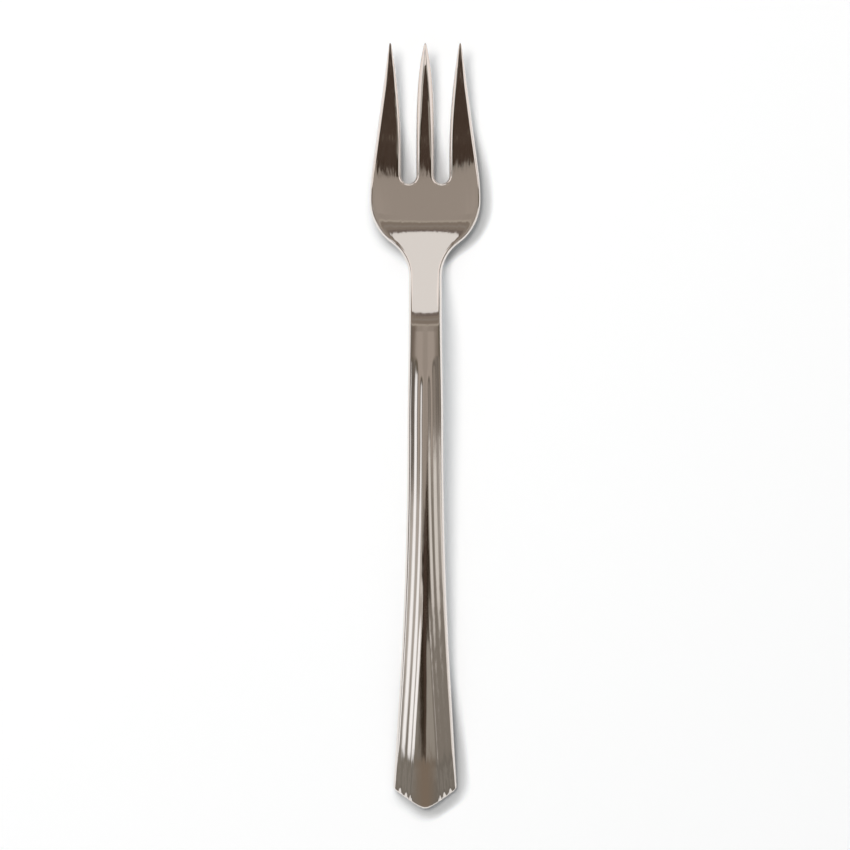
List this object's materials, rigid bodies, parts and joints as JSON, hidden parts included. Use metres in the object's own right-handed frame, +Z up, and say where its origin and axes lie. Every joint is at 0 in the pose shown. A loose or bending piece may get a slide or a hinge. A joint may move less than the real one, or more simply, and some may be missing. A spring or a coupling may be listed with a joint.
{
  "type": "tasting fork",
  "caption": "Petite tasting fork: pointed tines on a dished palm, an arched neck and shank, and a fluted handle that flares to a pointed end.",
  "frame": {"origin": "under the middle of the fork, on the surface that it lies on", "axes": "+Y along the fork from the handle's point to the tine tips, +X across it to the right with the tines pointing away, +Z up from the surface"},
  "size_m": [0.0148, 0.102, 0.0073],
  "materials": {
    "metallised_silver": "mirror-bright warm silver with fine lengthwise flow marks"
  },
  "bodies": {
    "root": {"left_tine": "metallised_silver", "middle_tine": "metallised_silver", "right_tine": "metallised_silver", "palm": "metallised_silver", "neck": "metallised_silver", "shank": "metallised_silver", "handle": "metallised_silver"}
  },
  "joints": []
}
